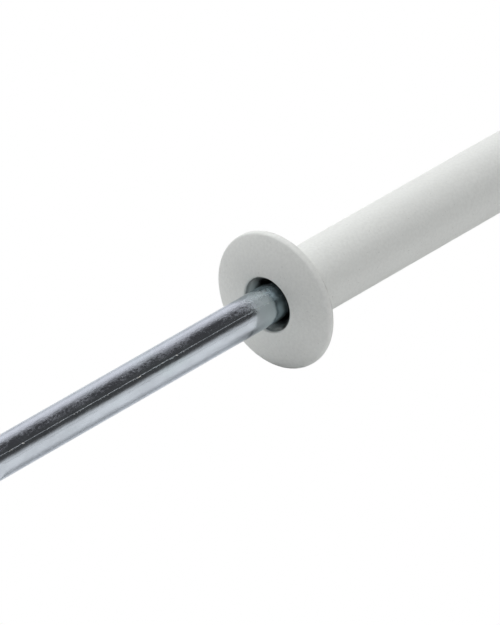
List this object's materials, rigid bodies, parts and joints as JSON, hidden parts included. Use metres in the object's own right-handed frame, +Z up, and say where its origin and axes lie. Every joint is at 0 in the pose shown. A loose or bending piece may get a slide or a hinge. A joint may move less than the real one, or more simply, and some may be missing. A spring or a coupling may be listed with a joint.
{
  "type": "blind rivet",
  "caption": "Painted blind rivet with a thin domed flange on a tubular shank, and a headed zinc-plated mandrel through it that sticks out of the flange.",
  "frame": {"origin": "on the rivet's axis, in the plane of the seat, the flange's flat underside", "axes": "+X along the axis, the way the rivet goes into its hole; the domed flange and the free stem are on the -X side; +Z up"},
  "size_m": [0.0639, 0.0098, 0.0098],
  "materials": {
    "painted_aluminium": "aluminium alloy with a satin off-white paint on the outside, bare metal in the bore",
    "zinc_plated_steel": "bright zinc plate over drawn wire, with fine draw lines along it"
  },
  "bodies": {
    "rivet": {"rivet_body": "painted_aluminium"},
    "mandrel": {"mandrel": "zinc_plated_steel"}
  },
  "joints": [
    {"name": "mandrel_slide", "type": "slide", "parent": "rivet", "child": "mandrel", "axis": [1, 0, 0], "range_m": [0, 0.0612]}
  ]
}
